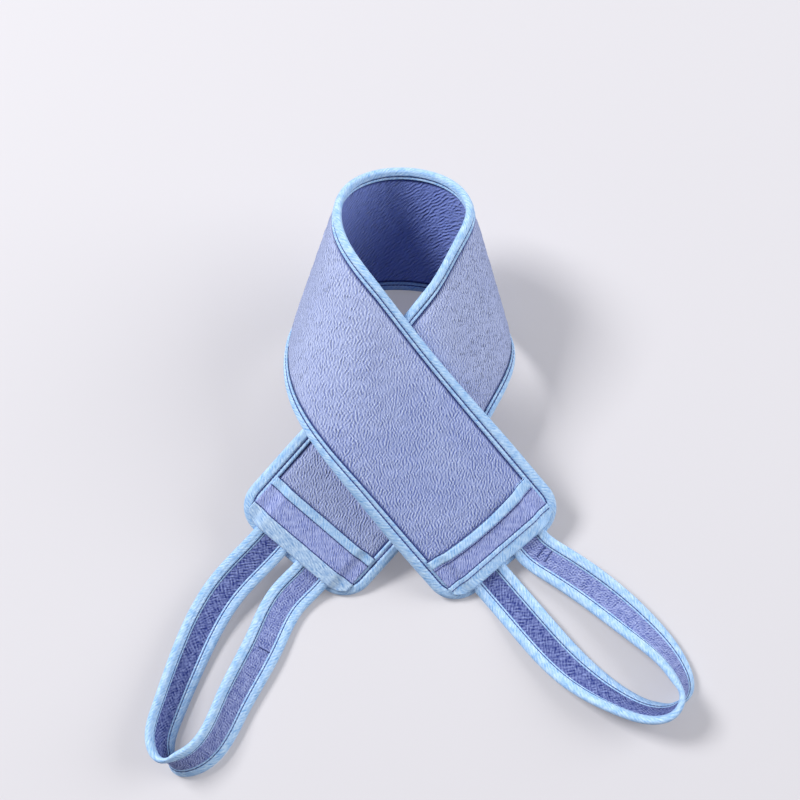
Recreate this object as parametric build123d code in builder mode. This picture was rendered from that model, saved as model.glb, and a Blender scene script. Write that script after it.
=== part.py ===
from build123d import *
import os
from math import atan2, ceil, cos, degrees, pi, radians, sin, sqrt, tan

# A back scrubber: one long padded scrubbing strap with a hand loop sewn to each end.
# The strap lies rolled into a hoop. Its two arms cross in front, the over arm on top
# of the under arm, and both come down to the floor. All sizes are in millimetres.
#
# The rolled strap is a cone: every straight line across it points at one apex. A place
# on it is a fan angle, seen from the apex of the strap laid flat, a distance from the
# apex measured square to the strap, and a height above the strap's middle layer. The
# fan angle is negative on the over arm and positive on the under arm.

# ---- driving dimensions ----
# padded strap
PAD_WIDTH = 90.0
PAD_HALF_LENGTH = 306.0
PAD_THICKNESS = 4.0
FOAM_THICKNESS = 1.6
CORNER_RADIUS = 18.0
TAPE_WIDTH = 7.0              # edge tape, seen on each face
TAPE_THICKNESS = 0.6

# how the strap is rolled
APEX_DISTANCE = 171.0         # from the apex to the strap's centre line
BACK_BEND = 3.1               # how fast the hoop turns at its back
SIDE_BEND = 5.6               # how fast it turns at its sides
SIDE_SKEW = 0.045             # the under arm's side is this much tighter, the over arm's looser
OVER_BEND = 1.0               # the over arm still bends down a little until it is flat
FLAT_LENGTH = 31.5            # how much of the longer edge lies in an arm's flat end
SHOULDER_LEAD = 7.2           # degrees of fan between leaving the hoop and turning flat
ARCH_FROM = 25.0              # degrees of fan where the arms begin to part for the crossing
OVER_ARCH = 0.015             # the over arm is raised by this much of its distance from the apex
UNDER_ARCH = 0.039            # the under arm is lowered by this much
FAN_STEP = 2.6                # degrees between two cross sections, at most
TURNS_PER_SECTION = 8
FLOOR_ROUNDS = 10

# bands sewn over the strap's ends
BAND_INSET = 6.5              # from the strap's end to the band
BAND_WIDTH = 27.0
BAND_THICKNESS = 1.0
BAND_TAPE_WIDTH = 6.0

# hand loops
LOOP_WIDTH = 23.0
LOOP_THICKNESS = 2.4
LOOP_TAPE_WIDTH = 5.5
LOOP_SPACING = 32.0           # between the centre lines of a loop's two sides
SEWN_END_OVERHANG = 0.3       # how far the sewn end reaches past the pad
HINGE_GAP = 0.3
LOOP_SECTIONS = 48            # planes across each hand loop

# The middle of each loop, from its first side round to its second: two distances along
# the floor from the middle of the seam that the loop hangs on, and a height above the floor.
LEFT_LOOP_POINTS = [
    (-37.6, -17.4, 11), (-58.6, -61.4, 9.5), (-68.6, -93.4, 11), (-70.6, -110.4, 12), (-64.6, -120.4, 12.5),
    (-52.6, -119.4, 12.5), (-29.6, -85.4, 10), (-12.6, -48.4, 8), (-0.6, -22.4, 6.8),
]
LEFT_LOOP_LEAN = (-0.51, 0.32, 0.8)
RIGHT_LOOP_POINTS = [
    (7.8, -33, 4.5), (36.8, -64, 6.5), (65.8, -83, 10), (81.8, -88, 11.5), (92.8, -86, 12),
    (99.8, -77, 12.2), (96.8, -63, 11.6), (76.8, -39, 10), (45.8, -13, 8.3), (27.8, -1, 8.5),
]
RIGHT_LOOP_LEAN = (-0.35, -0.5, 0.79)
LEAN_SHARPNESS = 3.0          # how closely the lean keeps to the loop's far turn

# ---- worked-out sizes ----
NEAR_EDGE = APEX_DISTANCE - PAD_WIDTH / 2
FAR_EDGE = APEX_DISTANCE + PAD_WIDTH / 2
HALF_PAD = PAD_THICKNESS / 2
HALF_FOAM = FOAM_THICKNESS / 2
UNDER_TAPE = HALF_PAD - TAPE_THICKNESS
HINGE_REACH = SEWN_END_OVERHANG + HINGE_GAP + LOOP_THICKNESS / 2
LOOP_HEIGHT = HALF_PAD + LOOP_THICKNESS / 2
BAND_TOP = HALF_PAD + LOOP_THICKNESS + BAND_THICKNESS
FLAT_FROM = degrees(atan2(PAD_HALF_LENGTH - FLAT_LENGTH, FAR_EDGE))
SHOULDER = FLAT_FROM - SHOULDER_LEAD
OVER, UNDER = -1, 1           # the two arms


# ---- the rolled strap ----
def bend_rate(fan, arm):
    """How fast the cone turns at this fan angle: more at the sides, nothing in the flat ends."""
    if fan >= FLAT_FROM:
        return 0.0
    if fan > SHOULDER:
        return OVER_BEND if arm == OVER else 0.0
    side_bend = SIDE_BEND * (1 + arm * SIDE_SKEW)
    return BACK_BEND + (side_bend - BACK_BEND) * (fan / SHOULDER) ** 2


def arch(fan, arm):
    """How far an arm is moved towards the hoop's inside, and how fast that changes."""
    part = (fan - ARCH_FROM) / (FLAT_FROM - ARCH_FROM)
    if not 0 < part < 1:
        return 0.0, 0.0
    size = UNDER_ARCH if arm == UNDER else -OVER_ARCH
    span = radians(FLAT_FROM - ARCH_FROM)
    return size * sin(pi * part) ** 2, size * pi / span * sin(2 * pi * part)


def arm_rulings(arm):
    """One arm's rulings, from the back of the hoop to the flat end. Each is a fan angle
    with three directions: along the ruling, onward along the arm, and inward."""
    ruling, onward, inward = Vector(0, 0, -1), Vector(arm, 0, 0), Vector(0, -1, 0)
    sections = ceil(FLAT_FROM / FAN_STEP)
    step = FLAT_FROM / sections / TURNS_PER_SECTION
    rulings = [(0.0, ruling, onward, inward)]
    for turn in range(1, sections * TURNS_PER_SECTION + 1):
        bend = bend_rate((turn - 0.5) * step, arm)
        axis = Axis((0, 0, 0), ruling.cross(onward) + ruling * arm * bend)
        angle = step * sqrt(1 + bend**2)
        ruling, onward, inward = (v.rotate(axis, angle) for v in (ruling, onward, inward))
        if turn % TURNS_PER_SECTION == 0:
            fan = turn * step
            lift, lift_rate = arch(fan, arm)
            arched = (ruling + inward * lift).normalized()
            ahead = onward * (1 - lift * bend_rate(fan, arm)) + inward * lift_rate
            ahead = (ahead - arched * ahead.dot(arched)).normalized()
            rulings.append((fan, arched, ahead, arched.cross(ahead) * arm))
    return rulings


RULINGS = {arm: arm_rulings(arm) for arm in (OVER, UNDER)}


def end_directions(arm):
    """Along the strap, across it and outward from it, in the flat end of one arm."""
    fan, ruling, onward, inward = RULINGS[arm][-1]
    fan = radians(fan)
    along = ruling * arm * sin(fan) + onward * arm * cos(fan)
    across = ruling * cos(fan) - onward * sin(fan)
    return along, across, inward * -1


def find_floor():
    """The plane that the rolled strap stands on: two corners and the hoop's lower edge."""
    resting = []
    for arm in (OVER, UNDER):
        along, across, outward = end_directions(arm)
        corner = []
        for degree in range(0, 95, 5):
            out = PAD_HALF_LENGTH - CORNER_RADIUS * (1 - cos(radians(degree)))
            down = FAR_EDGE - CORNER_RADIUS * (1 - sin(radians(degree)))
            corner.append(along * arm * out + across * down - outward * HALF_PAD)
        resting.append(corner)
    back = [
        ruling * (FAR_EDGE / cos(radians(fan))) + inward * face
        for arm in (OVER, UNDER)
        for fan, ruling, onward, inward in RULINGS[arm]
        for face in (HALF_PAD, -HALF_PAD)
        if fan < ARCH_FROM
    ]
    resting.append(back)
    lowest = [points[0] for points in resting]
    for _ in range(FLOOR_ROUNDS):
        over, under, hoop = lowest
        up = (over - under).cross(hoop - under).normalized()
        lowest = [min(points, key=lambda point: point.dot(up)) for points in resting]
    over, under, hoop = lowest
    return Plane(origin=(over + under) / 2, x_dir=over - under, z_dir=up)


FLOOR = find_floor()


def on_floor(direction):
    """A direction of the strap's own frame, seen in the frame of the floor."""
    return Vector(*(direction.dot(axis) for axis in (FLOOR.x_dir, FLOOR.y_dir, FLOOR.z_dir)))


APEX = on_floor(FLOOR.origin * -1)


def ruling_planes():
    """A plane across the strap at each ruling, from the over arm round to the under arm.
    Its x runs along the ruling from the apex, and its y points outward."""
    planes = []
    for arm in (OVER, UNDER):
        skip = 0 if arm == OVER else 1
        for fan, ruling, onward, inward in RULINGS[arm][skip:]:
            plane = Plane(APEX, x_dir=on_floor(ruling), z_dir=on_floor(onward * arm))
            planes.append((arm * fan, plane))
    return sorted(planes, key=lambda pair: pair[0])


SECTIONS = ruling_planes()


def end_plane(arm, height=0.0):
    """The plane of an arm's flat end. Its x is the distance along the strap laid flat,
    its y the distance from the apex across it, and its z points outward."""
    along, across, outward = (on_floor(direction) for direction in end_directions(arm))
    return Plane(APEX, x_dir=along, z_dir=outward).offset(height)


# ---- cross sections ----
def layer_profile(near, far, base, top, tape_width, tape_thickness):
    """A fabric layer between two edges, on base, thinned under the tapes at both edges."""
    step = top - tape_thickness if top > base else top + tape_thickness
    near_wrap, far_wrap = near + tape_thickness, far - tape_thickness
    near_tape, far_tape = near + tape_width, far - tape_width
    return [
        (near_wrap, base), (far_wrap, base), (far_wrap, step), (far_tape, step),
        (far_tape, top), (near_tape, top), (near_tape, step), (near_wrap, step),
    ]


def tape_profile(edge, inside, half_thickness, tape_width, tape_thickness):
    """A tape folded round an edge. Inside is +1 or -1, the way to the middle of the strap."""
    wrap, margin = edge + inside * tape_thickness, edge + inside * tape_width
    under = half_thickness - tape_thickness
    return [
        (edge, -half_thickness), (margin, -half_thickness), (margin, -under), (wrap, -under),
        (wrap, under), (margin, under), (margin, half_thickness), (edge, half_thickness),
    ]


def loft_hoop(profile):
    """Run a cross section along the rolled strap between the flat ends."""
    sections = []
    for fan, plane in SECTIONS:
        stretch = 1 / cos(radians(fan))
        with BuildSketch(plane) as section:
            with BuildLine():
                Polyline([(across * stretch, height) for across, height in profile], close=True)
            make_face()
        sections.append(section.sketch)
    loft(sections, ruled=True)


def extrude_end(arm, inset, low, high, mode=Mode.ADD):
    """The flat end of one arm between two heights, drawn in by inset all round."""
    slope = tan(radians(FLAT_FROM))
    near, far = NEAR_EDGE + inset, FAR_EDGE - inset
    tip = PAD_HALF_LENGTH - inset
    with BuildSketch(end_plane(arm, low)) as outline:
        with BuildLine():
            corners = [(near * slope, near), (tip, near), (tip, far), (far * slope, far)]
            Polyline([(arm * along, across) for along, across in corners], close=True)
        make_face()
        tip_corners = outline.vertices().sort_by(Axis.X, reverse=arm == OVER)[-2:]
        fillet(tip_corners, radius=CORNER_RADIUS - inset)
    extrude(outline.sketch, amount=high - low, mode=mode)


# ---- padded strap ----
with BuildPart() as foam_core:
    foam = [(NEAR_EDGE + TAPE_THICKNESS, -HALF_FOAM), (FAR_EDGE - TAPE_THICKNESS, -HALF_FOAM),
            (FAR_EDGE - TAPE_THICKNESS, HALF_FOAM), (NEAR_EDGE + TAPE_THICKNESS, HALF_FOAM)]
    loft_hoop(foam)
    for arm in (OVER, UNDER):
        extrude_end(arm, TAPE_THICKNESS, -HALF_FOAM, HALF_FOAM)
foam_core.part.label = "foam_core"

with BuildPart() as scrub_face:
    loft_hoop(layer_profile(NEAR_EDGE, FAR_EDGE, HALF_FOAM, HALF_PAD, TAPE_WIDTH, TAPE_THICKNESS))
    for arm in (OVER, UNDER):
        extrude_end(arm, TAPE_THICKNESS, HALF_FOAM, UNDER_TAPE)
        extrude_end(arm, TAPE_WIDTH, UNDER_TAPE, HALF_PAD)
scrub_face.part.label = "scrub_face"

with BuildPart() as back_face:
    loft_hoop(layer_profile(NEAR_EDGE, FAR_EDGE, -HALF_FOAM, -HALF_PAD, TAPE_WIDTH, TAPE_THICKNESS))
    for arm in (OVER, UNDER):
        extrude_end(arm, TAPE_THICKNESS, -UNDER_TAPE, -HALF_FOAM)
        extrude_end(arm, TAPE_WIDTH, -HALF_PAD, -UNDER_TAPE)
back_face.part.label = "back_face"

with BuildPart() as edge_tape:
    for arm in (OVER, UNDER):
        extrude_end(arm, 0, -HALF_PAD, HALF_PAD)
        extrude_end(arm, TAPE_WIDTH, -HALF_PAD, HALF_PAD, mode=Mode.SUBTRACT)
        extrude_end(arm, TAPE_THICKNESS, -UNDER_TAPE, UNDER_TAPE, mode=Mode.SUBTRACT)
    loft_hoop(tape_profile(NEAR_EDGE, 1, HALF_PAD, TAPE_WIDTH, TAPE_THICKNESS))
    loft_hoop(tape_profile(FAR_EDGE, -1, HALF_PAD, TAPE_WIDTH, TAPE_THICKNESS))
edge_tape.part.label = "edge_tape"

pieces = [foam_core, scrub_face, back_face, edge_tape]


# ---- bands and sewn strap ends ----
SIDES = {"right": OVER, "left": UNDER}
BAND_LENGTH = PAD_WIDTH - 2 * TAPE_WIDTH
BAND_START = PAD_HALF_LENGTH - BAND_INSET
SEWN_END_START = BAND_START - BAND_WIDTH + BAND_TAPE_WIDTH
SEWN_END_TIP = PAD_HALF_LENGTH + SEWN_END_OVERHANG


def end_slab(arm, start, stop, width, rows, low, high, mode=Mode.ADD):
    """Flat slabs across one end, between two distances along the strap, one per row."""
    with BuildSketch(end_plane(arm, low)) as outline:
        with Locations(*((arm * (start + stop) / 2, APEX_DISTANCE + row) for row in rows)):
            Rectangle(stop - start, width)
    extrude(outline.sketch, amount=high - low, mode=mode)


LOOP_ROWS = (-LOOP_SPACING / 2, LOOP_SPACING / 2)
BAND_STRIPS = {
    "end_tape": (BAND_START - BAND_TAPE_WIDTH, BAND_START),
    "band": (BAND_START - BAND_WIDTH + BAND_TAPE_WIDTH, BAND_START - BAND_TAPE_WIDTH),
    "inner_tape": (BAND_START - BAND_WIDTH, BAND_START - BAND_WIDTH + BAND_TAPE_WIDTH),
}

for side, arm in SIDES.items():
    with BuildPart() as sewn_ends:
        end_slab(arm, SEWN_END_START, SEWN_END_TIP, LOOP_WIDTH, LOOP_ROWS,
                 HALF_PAD, HALF_PAD + LOOP_THICKNESS)
    sewn_ends.part.label = f"{side}_sewn_ends"
    pieces.append(sewn_ends)

    for strip_name, (start, stop) in BAND_STRIPS.items():
        with BuildPart() as strip:
            end_slab(arm, start, stop, BAND_LENGTH, (0,), HALF_PAD, BAND_TOP)
            end_slab(arm, SEWN_END_START, SEWN_END_TIP, LOOP_WIDTH, LOOP_ROWS,
                     HALF_PAD, HALF_PAD + LOOP_THICKNESS, mode=Mode.SUBTRACT)
        strip.part.label = f"{side}_{strip_name}"
        pieces.append(strip)


# ---- hand loops ----
def seam_middle(arm):
    """The middle of the seam where a hand loop bends against the strap's end."""
    end = end_plane(arm, LOOP_HEIGHT)
    return end.from_local_coords((arm * (PAD_HALF_LENGTH + HINGE_REACH), APEX_DISTANCE))


def loop_planes(arm, first_row, points, lean):
    """Planes across a hand loop, from its first side round to its second. Their x runs
    across the loop's strap and their y points to its scrubbing face."""
    end = end_plane(arm, LOOP_HEIGHT)
    seam = seam_middle(arm)
    first, second = seam + end.y_dir * first_row, seam - end.y_dir * first_row
    foot = Vector(seam.X, seam.Y, 0)
    away = end.x_dir * arm
    flat = end.y_dir * (1 if first_row > 0 else -1)
    round_points = [foot + Vector(*point) for point in points]
    middle = Spline([first, *round_points, second], tangents=[away, away * -1])
    planes = []
    for index in range(LOOP_SECTIONS + 1):
        place = index / LOOP_SECTIONS
        forward = middle % place
        weight = sin(pi * place) ** LEAN_SHARPNESS
        width = flat * (1 - weight) + Vector(*lean) * weight
        width = (width - forward * width.dot(forward)).normalized()
        planes.append(Plane(middle @ place, x_dir=width, z_dir=forward))
    return planes


def run_round(planes, corners):
    """A solid with this cross section, run round a hand loop with smooth sides."""
    rails = [Edge.make_spline([plane.from_local_coords(corner) for plane in planes])
             for corner in corners]
    sides = [Face.make_surface_from_curves(rail, beside)
             for rail, beside in zip(rails, rails[1:] + rails[:1])]
    ends = [Face(Wire.make_polygon([plane.from_local_coords(corner) for corner in corners]))
            for plane in (planes[0], planes[-1])]
    return Solid(Shell(sides + ends))


def rounded_start(plane, inward, left, right, low, high):
    """The rounded fold where a piece of a hand loop starts, turning against its sewn end."""
    side_plane = Plane(plane.from_local_coords((left, 0)), x_dir=inward, z_dir=plane.x_dir)
    with BuildSketch(side_plane) as section:
        Circle(HALF_LOOP)
        with Locations((-HALF_LOOP / 2, (low + high) / 2 * side_plane.y_dir.dot(plane.y_dir))):
            Rectangle(HALF_LOOP, high - low, mode=Mode.INTERSECT)
    extrude(section.sketch, amount=right - left)


HALF_LOOP = LOOP_THICKNESS / 2
HALF_LOOP_WIDTH = LOOP_WIDTH / 2
FABRIC_EDGE = HALF_LOOP_WIDTH - LOOP_TAPE_WIDTH

# Each piece of a loop is a rectangle run round it: left and right, low and high. The tapes
# are rolled round the fabric's edges, so each is one closed roll.
LOOP_PROFILES = {
    "loop_face": (-FABRIC_EDGE, FABRIC_EDGE, 0, HALF_LOOP),
    "loop_lining": (-FABRIC_EDGE, FABRIC_EDGE, -HALF_LOOP, 0),
    "loop_upper_tape": (FABRIC_EDGE, HALF_LOOP_WIDTH, -HALF_LOOP, HALF_LOOP),
    "loop_lower_tape": (-HALF_LOOP_WIDTH, -FABRIC_EDGE, -HALF_LOOP, HALF_LOOP),
}
LOOPS = {
    "right": (OVER, LOOP_SPACING / 2, RIGHT_LOOP_POINTS, RIGHT_LOOP_LEAN),
    "left": (UNDER, -LOOP_SPACING / 2, LEFT_LOOP_POINTS, LEFT_LOOP_LEAN),
}

for side, (arm, first_row, points, lean) in LOOPS.items():
    planes = loop_planes(arm, first_row, points, lean)
    for piece_name, (left, right, low, high) in LOOP_PROFILES.items():
        corners = [(left, low), (right, low), (right, high), (left, high)]
        with BuildPart() as piece:
            add(run_round(planes, corners))
            rounded_start(planes[0], planes[0].z_dir, left, right, low, high)
            rounded_start(planes[-1], planes[-1].z_dir * -1, left, right, low, high)
        piece.part.label = f"{side}_{piece_name}"
        pieces.append(piece)


# ---- origin: on the floor, below the middle of the whole ----
whole = Compound([piece.part for piece in pieces]).bounding_box()
to_origin = Location((-whole.center().X, -whole.center().Y, -whole.min.Z))
os.makedirs("parts", exist_ok=True)
for piece in pieces:
    placed = piece.part.moved(to_origin)
    placed.label = piece.part.label
    export_step(placed, f"parts/{placed.label}.step")

for side, arm in SIDES.items():
    end = end_plane(arm)
    lifting = (end.x_dir * arm).cross(end.z_dir)
    print(side, "hinge at", seam_middle(arm) + to_origin.position, "axis", lifting)
print("origin moved by", to_origin.position, "apex at", APEX + to_origin.position)
print("overall size", whole.size)
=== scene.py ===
# %% [markdown]
# # A rolled back scrubber
#
# The object is a long padded strap of knitted terry with a fabric hand loop sewn to each
# end. It lies rolled into a hoop with its two arms crossed in front. Nothing on it is
# stiff, so it is modelled the way it is made: every piece is cut flat, folded and sewn in
# the strap's own flat frame, and then the whole strap is rolled up in one step.

# %% The CAD frame
from math import atan2, cos, degrees, pi, radians, sin, sqrt

import bpy
import numpy as np
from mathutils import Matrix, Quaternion, Vector


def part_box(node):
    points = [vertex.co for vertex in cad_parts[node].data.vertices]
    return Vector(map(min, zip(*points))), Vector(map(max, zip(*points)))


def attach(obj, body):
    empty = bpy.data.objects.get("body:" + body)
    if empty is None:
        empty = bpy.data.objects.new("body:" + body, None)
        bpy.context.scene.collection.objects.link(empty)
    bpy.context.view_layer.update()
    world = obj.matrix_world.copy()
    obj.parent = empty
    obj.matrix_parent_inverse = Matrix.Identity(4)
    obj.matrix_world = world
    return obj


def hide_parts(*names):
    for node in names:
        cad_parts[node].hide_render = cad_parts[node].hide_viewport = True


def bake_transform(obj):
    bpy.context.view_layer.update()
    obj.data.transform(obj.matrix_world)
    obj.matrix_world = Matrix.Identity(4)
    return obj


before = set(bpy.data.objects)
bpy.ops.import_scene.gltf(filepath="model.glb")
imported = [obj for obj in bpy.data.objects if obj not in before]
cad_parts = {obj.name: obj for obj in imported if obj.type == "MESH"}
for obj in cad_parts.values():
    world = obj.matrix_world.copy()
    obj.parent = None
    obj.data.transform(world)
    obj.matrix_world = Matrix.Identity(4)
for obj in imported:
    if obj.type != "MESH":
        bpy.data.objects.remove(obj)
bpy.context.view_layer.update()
MM = 0.001

# %% [markdown]
# ## How the strap is rolled
#
# A flat strap can roll up without stretching only as a cylinder or a cone. This one is a
# cone: every straight line across it, called a ruling, points at one apex. Going round
# from the back of the hoop, each step turns the ruling a little and bends the strap by a
# rate that is gentle at the back, quick at the sides and nothing in the flat ends. The
# sizes are the same ones that the solid pieces were made with, in millimetres.

# %% The sizes of the strap and its roll
PAD_WIDTH = 90.0
PAD_HALF_LENGTH = 306.0
PAD_THICKNESS = 4.0
FOAM_THICKNESS = 1.6
CORNER_RADIUS = 18.0
TAPE_WIDTH = 7.0        # as it shows on each face
APEX_DISTANCE = 171.0   # from the apex to the strap's centre line
BACK_BEND = 3.1         # how fast the hoop turns at its back
SIDE_BEND = 5.6         # how fast it turns at its sides
SIDE_SKEW = 0.045       # the under arm's side is this much tighter, the over arm's looser
OVER_BEND = 1.0         # the over arm still bends down a little until it is flat
FLAT_LENGTH = 31.5      # how much of the longer edge lies in an arm's flat end
SHOULDER_LEAD = 7.2     # degrees of fan between leaving the hoop and turning flat
ARCH_FROM = 25.0        # degrees of fan where the arms begin to part for the crossing
OVER_ARCH = 0.015       # the over arm is raised by this much of its distance from the apex
UNDER_ARCH = 0.039      # the under arm is lowered by this much
ROLL_STEPS = 160
OVER, UNDER = -1, 1     # the two arms, and the sign of the places along each
HALF_WIDTH = PAD_WIDTH / 2
HALF_PAD = PAD_THICKNESS / 2
FAR_EDGE = APEX_DISTANCE + HALF_WIDTH
FLAT_FROM = degrees(atan2(PAD_HALF_LENGTH - FLAT_LENGTH, FAR_EDGE))
SHOULDER = FLAT_FROM - SHOULDER_LEAD
print("flat from", round(FLAT_FROM, 1), "degrees of fan, shoulder from", round(SHOULDER, 1))

# %% [markdown]
# A place round the cone is told by its fan angle: how far its ruling has turned in the
# flat cloth. The two arms are each walked in small steps from the back of the hoop. Where
# they cross, one is arched up and the other down, so that the cloth passes itself.


# %% The rulings of the two arms
def unit(vector):
    """The vector at length one, for one vector or for a table of them."""
    return vector / np.linalg.norm(vector, axis=-1, keepdims=True)


def turned(vector, axis, angle):
    """The vector turned about an axis through the apex."""
    along = axis * (axis @ vector) * (1 - cos(angle))
    return vector * cos(angle) + np.cross(axis, vector) * sin(angle) + along


def bend_rate(fan, arm):
    """How fast the cone turns at this fan angle."""
    if fan >= FLAT_FROM:
        return 0.0
    if fan > SHOULDER:
        return OVER_BEND if arm == OVER else 0.0
    side_bend = SIDE_BEND * (1 + arm * SIDE_SKEW)
    return BACK_BEND + (side_bend - BACK_BEND) * (fan / SHOULDER) ** 2


def arch(fan, arm):
    """How far an arm is moved at the crossing, so that the two pass, and how fast."""
    part = (fan - ARCH_FROM) / (FLAT_FROM - ARCH_FROM)
    if not 0 < part < 1:
        return 0.0, 0.0
    size = UNDER_ARCH if arm == UNDER else -OVER_ARCH
    span = radians(FLAT_FROM - ARCH_FROM)
    return size * sin(pi * part) ** 2, size * pi / span * sin(2 * pi * part)


def arm_rulings(arm):
    """One arm's rulings from the back of the hoop to the flat end: the fan angle, the
    direction along the ruling, the direction onward, and the direction inward."""
    ruling = np.array([0.0, 0.0, -1.0])
    onward = np.array([float(arm), 0.0, 0.0])
    inward = np.array([0.0, -1.0, 0.0])
    step = FLAT_FROM / ROLL_STEPS
    rulings = [(0.0, ruling, onward, inward)]
    for turn in range(1, ROLL_STEPS + 1):
        bend = bend_rate((turn - 0.5) * step, arm)
        axis = unit(np.cross(ruling, onward) + ruling * arm * bend)
        angle = radians(step) * sqrt(1 + bend**2)
        ruling, onward, inward = (turned(v, axis, angle) for v in (ruling, onward, inward))
        fan = turn * step
        lift, lift_rate = arch(fan, arm)
        arched = unit(ruling + inward * lift)
        ahead = onward * (1 - lift * bend_rate(fan, arm)) + inward * lift_rate
        ahead = unit(ahead - arched * (ahead @ arched))
        rulings.append((fan, arched, ahead, np.cross(arched, ahead) * arm))
    return rulings


RULINGS = {arm: arm_rulings(arm) for arm in (OVER, UNDER)}
print("rulings on each arm", ROLL_STEPS + 1)

# %% [markdown]
# The roll stands on three places: the rounded corner at the end of each arm, and the
# lower edge of the hoop. A plane through the lowest point of each is the floor.


# %% The floor under the roll
CORNER_STEP = 5      # degrees between the points that are tried round a corner
FLOOR_ROUNDS = 10


def end_directions(arm):
    """Along the strap, across it and outward from it, in an arm's flat end."""
    fan, ruling, onward, inward = RULINGS[arm][-1]
    fan = radians(fan)
    along = ruling * arm * sin(fan) + onward * arm * cos(fan)
    across = ruling * cos(fan) - onward * sin(fan)
    return along, across, -inward


def corner_points(arm):
    """Points round the lower corner of an arm's end, on its under side."""
    along, across, outward = end_directions(arm)
    turns = np.radians(np.arange(0, 90 + CORNER_STEP, CORNER_STEP))[:, None]
    out = PAD_HALF_LENGTH - CORNER_RADIUS * (1 - np.cos(turns))
    down = FAR_EDGE - CORNER_RADIUS * (1 - np.sin(turns))
    return along * arm * out + across * down - outward * HALF_PAD


def back_points():
    """Points along the lower edge of the hoop's back, on both of its faces."""
    return np.array([
        ruling * FAR_EDGE / cos(radians(fan)) + inward * face
        for arm in (OVER, UNDER)
        for fan, ruling, _, inward in RULINGS[arm] if fan < ARCH_FROM
        for face in (HALF_PAD, -HALF_PAD)
    ])


resting = [corner_points(OVER), corner_points(UNDER), back_points()]
over, under, hoop = (points[0] for points in resting)
for _ in range(FLOOR_ROUNDS):
    up = unit(np.cross(over - under, hoop - under))
    over, under, hoop = (points[np.argmin(points @ up)] for points in resting)
floor_x = unit(over - under)
FLOOR_AXES = np.array([floor_x, np.cross(up, floor_x), up])
APEX = FLOOR_AXES @ (over + under) / -2
print("the cone's apex is", round(APEX[2]), "mm over the floor")

# %% [markdown]
# The strap's outline is a long rectangle with round corners. `on_outline` walks round it:
# it takes a distance along the edge and an inset from it, and returns flat places. The
# edge tape and its stitches are laid out this way later.

# %% Round the outline
STRAIGHT_LONG = 2 * (PAD_HALF_LENGTH - CORNER_RADIUS)
STRAIGHT_SHORT = 2 * (HALF_WIDTH - CORNER_RADIUS)
QUARTER = CORNER_RADIUS * pi / 2
OUTLINE = 2 * (STRAIGHT_LONG + STRAIGHT_SHORT) + 4 * QUARTER
print("the strap's edge is", round(OUTLINE), "mm round")


def on_outline(distance, inset):
    """Flat places at this distance round the strap's outline and this far inside it. A
    flat place is one complex number here, so that times 1j is a quarter turn."""
    distance = np.mod(distance, OUTLINE)
    radius = CORNER_RADIUS - inset
    corner = complex(PAD_HALF_LENGTH - CORNER_RADIUS, HALF_WIDTH - CORNER_RADIUS)
    place = np.zeros_like(distance, complex)
    start = 0.0
    for turns, centre in enumerate((-corner, corner.conjugate(), corner, -corner.conjugate())):
        ahead = 1j**turns
        outward = ahead / 1j
        length = STRAIGHT_SHORT if turns % 2 else STRAIGHT_LONG
        here = (distance >= start) & (distance < start + length)
        place[here] = centre + ahead * (distance[here] - start) + outward * radius[here]
        start += length
        here = (distance >= start) & (distance < start + QUARTER)
        turn = np.exp(1j * (distance[here] - start) / CORNER_RADIUS)
        place[here] = centre + ahead * length + outward * radius[here] * turn
        start += QUARTER
    return place.real, place.imag


# %% [markdown]
# `rolled` takes places in the flat strap, along it, across it and out from its middle
# layer, and returns where they are in the rolled one. The frame's origin is found by
# comparing the edge of the strap with the CAD edge tape. Cloth on a floor also settles:
# the hoop's upper rim draws in a little, and nothing goes through the floor.


# %% Rolling flat places up
ROLL_HEIGHT = 110.0
RIM_NARROWER = 0.086    # share of its width that the rim loses
FLOOR_GAP = 0.1


def rolled_from_apex(flat):
    """Rolled places, measured from the floor midway between the two resting corners."""
    along, down, out = flat[:, 0], APEX_DISTANCE + flat[:, 1], flat[:, 2:3]
    place = np.empty_like(flat)
    for arm in (OVER, UNDER):
        mine = along >= 0 if arm == UNDER else along < 0
        fan = np.degrees(np.arctan2(along * arm, down))
        fans = [row[0] for row in RULINGS[arm]]
        curved = mine & (fan <= FLAT_FROM)
        ruling, inward = (
            unit(np.stack([
                np.interp(fan[curved], fans, [row[column][axis] for row in RULINGS[arm]])
                for axis in range(3)
            ], axis=1))
            for column in (1, 3)
        )
        reach = (down[curved] / np.cos(np.radians(fan[curved])))[:, None]
        place[curved] = ruling * reach - inward * out[curved]
        flat_end = mine & (fan > FLAT_FROM)
        onward, across, outward = end_directions(arm)
        place[flat_end] = (onward * along[flat_end, None] + across * down[flat_end, None]
                           + outward * out[flat_end])
    return place @ FLOOR_AXES.T + APEX


tape_low, tape_high = (np.array(corner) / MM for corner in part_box("edge_tape"))
edge_run = np.arange(0.0, OUTLINE)
edge_x, edge_y = on_outline(edge_run, np.zeros_like(edge_run))
edge = np.vstack([
    rolled_from_apex(np.stack([edge_x, edge_y, np.full_like(edge_x, face)], axis=1))
    for face in (HALF_PAD, -HALF_PAD)
])
ORIGIN = (tape_low + tape_high - edge.min(axis=0) - edge.max(axis=0)) / 2


def settled(place):
    """The same places after the cloth has settled: the upper rim a little narrower, and
    nothing pressed into the floor."""
    rise = np.clip(place[:, 2] / ROLL_HEIGHT, 0, 1)
    place[:, 0] *= 1 - RIM_NARROWER * rise**2
    place[:, 2] = np.maximum(place[:, 2], FLOOR_GAP)
    return place


def rolled(flat):
    """Rolled places in the frame, in millimetres."""
    return settled(rolled_from_apex(flat) + ORIGIN)


print("origin of the roll", ORIGIN.round(2))

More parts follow.
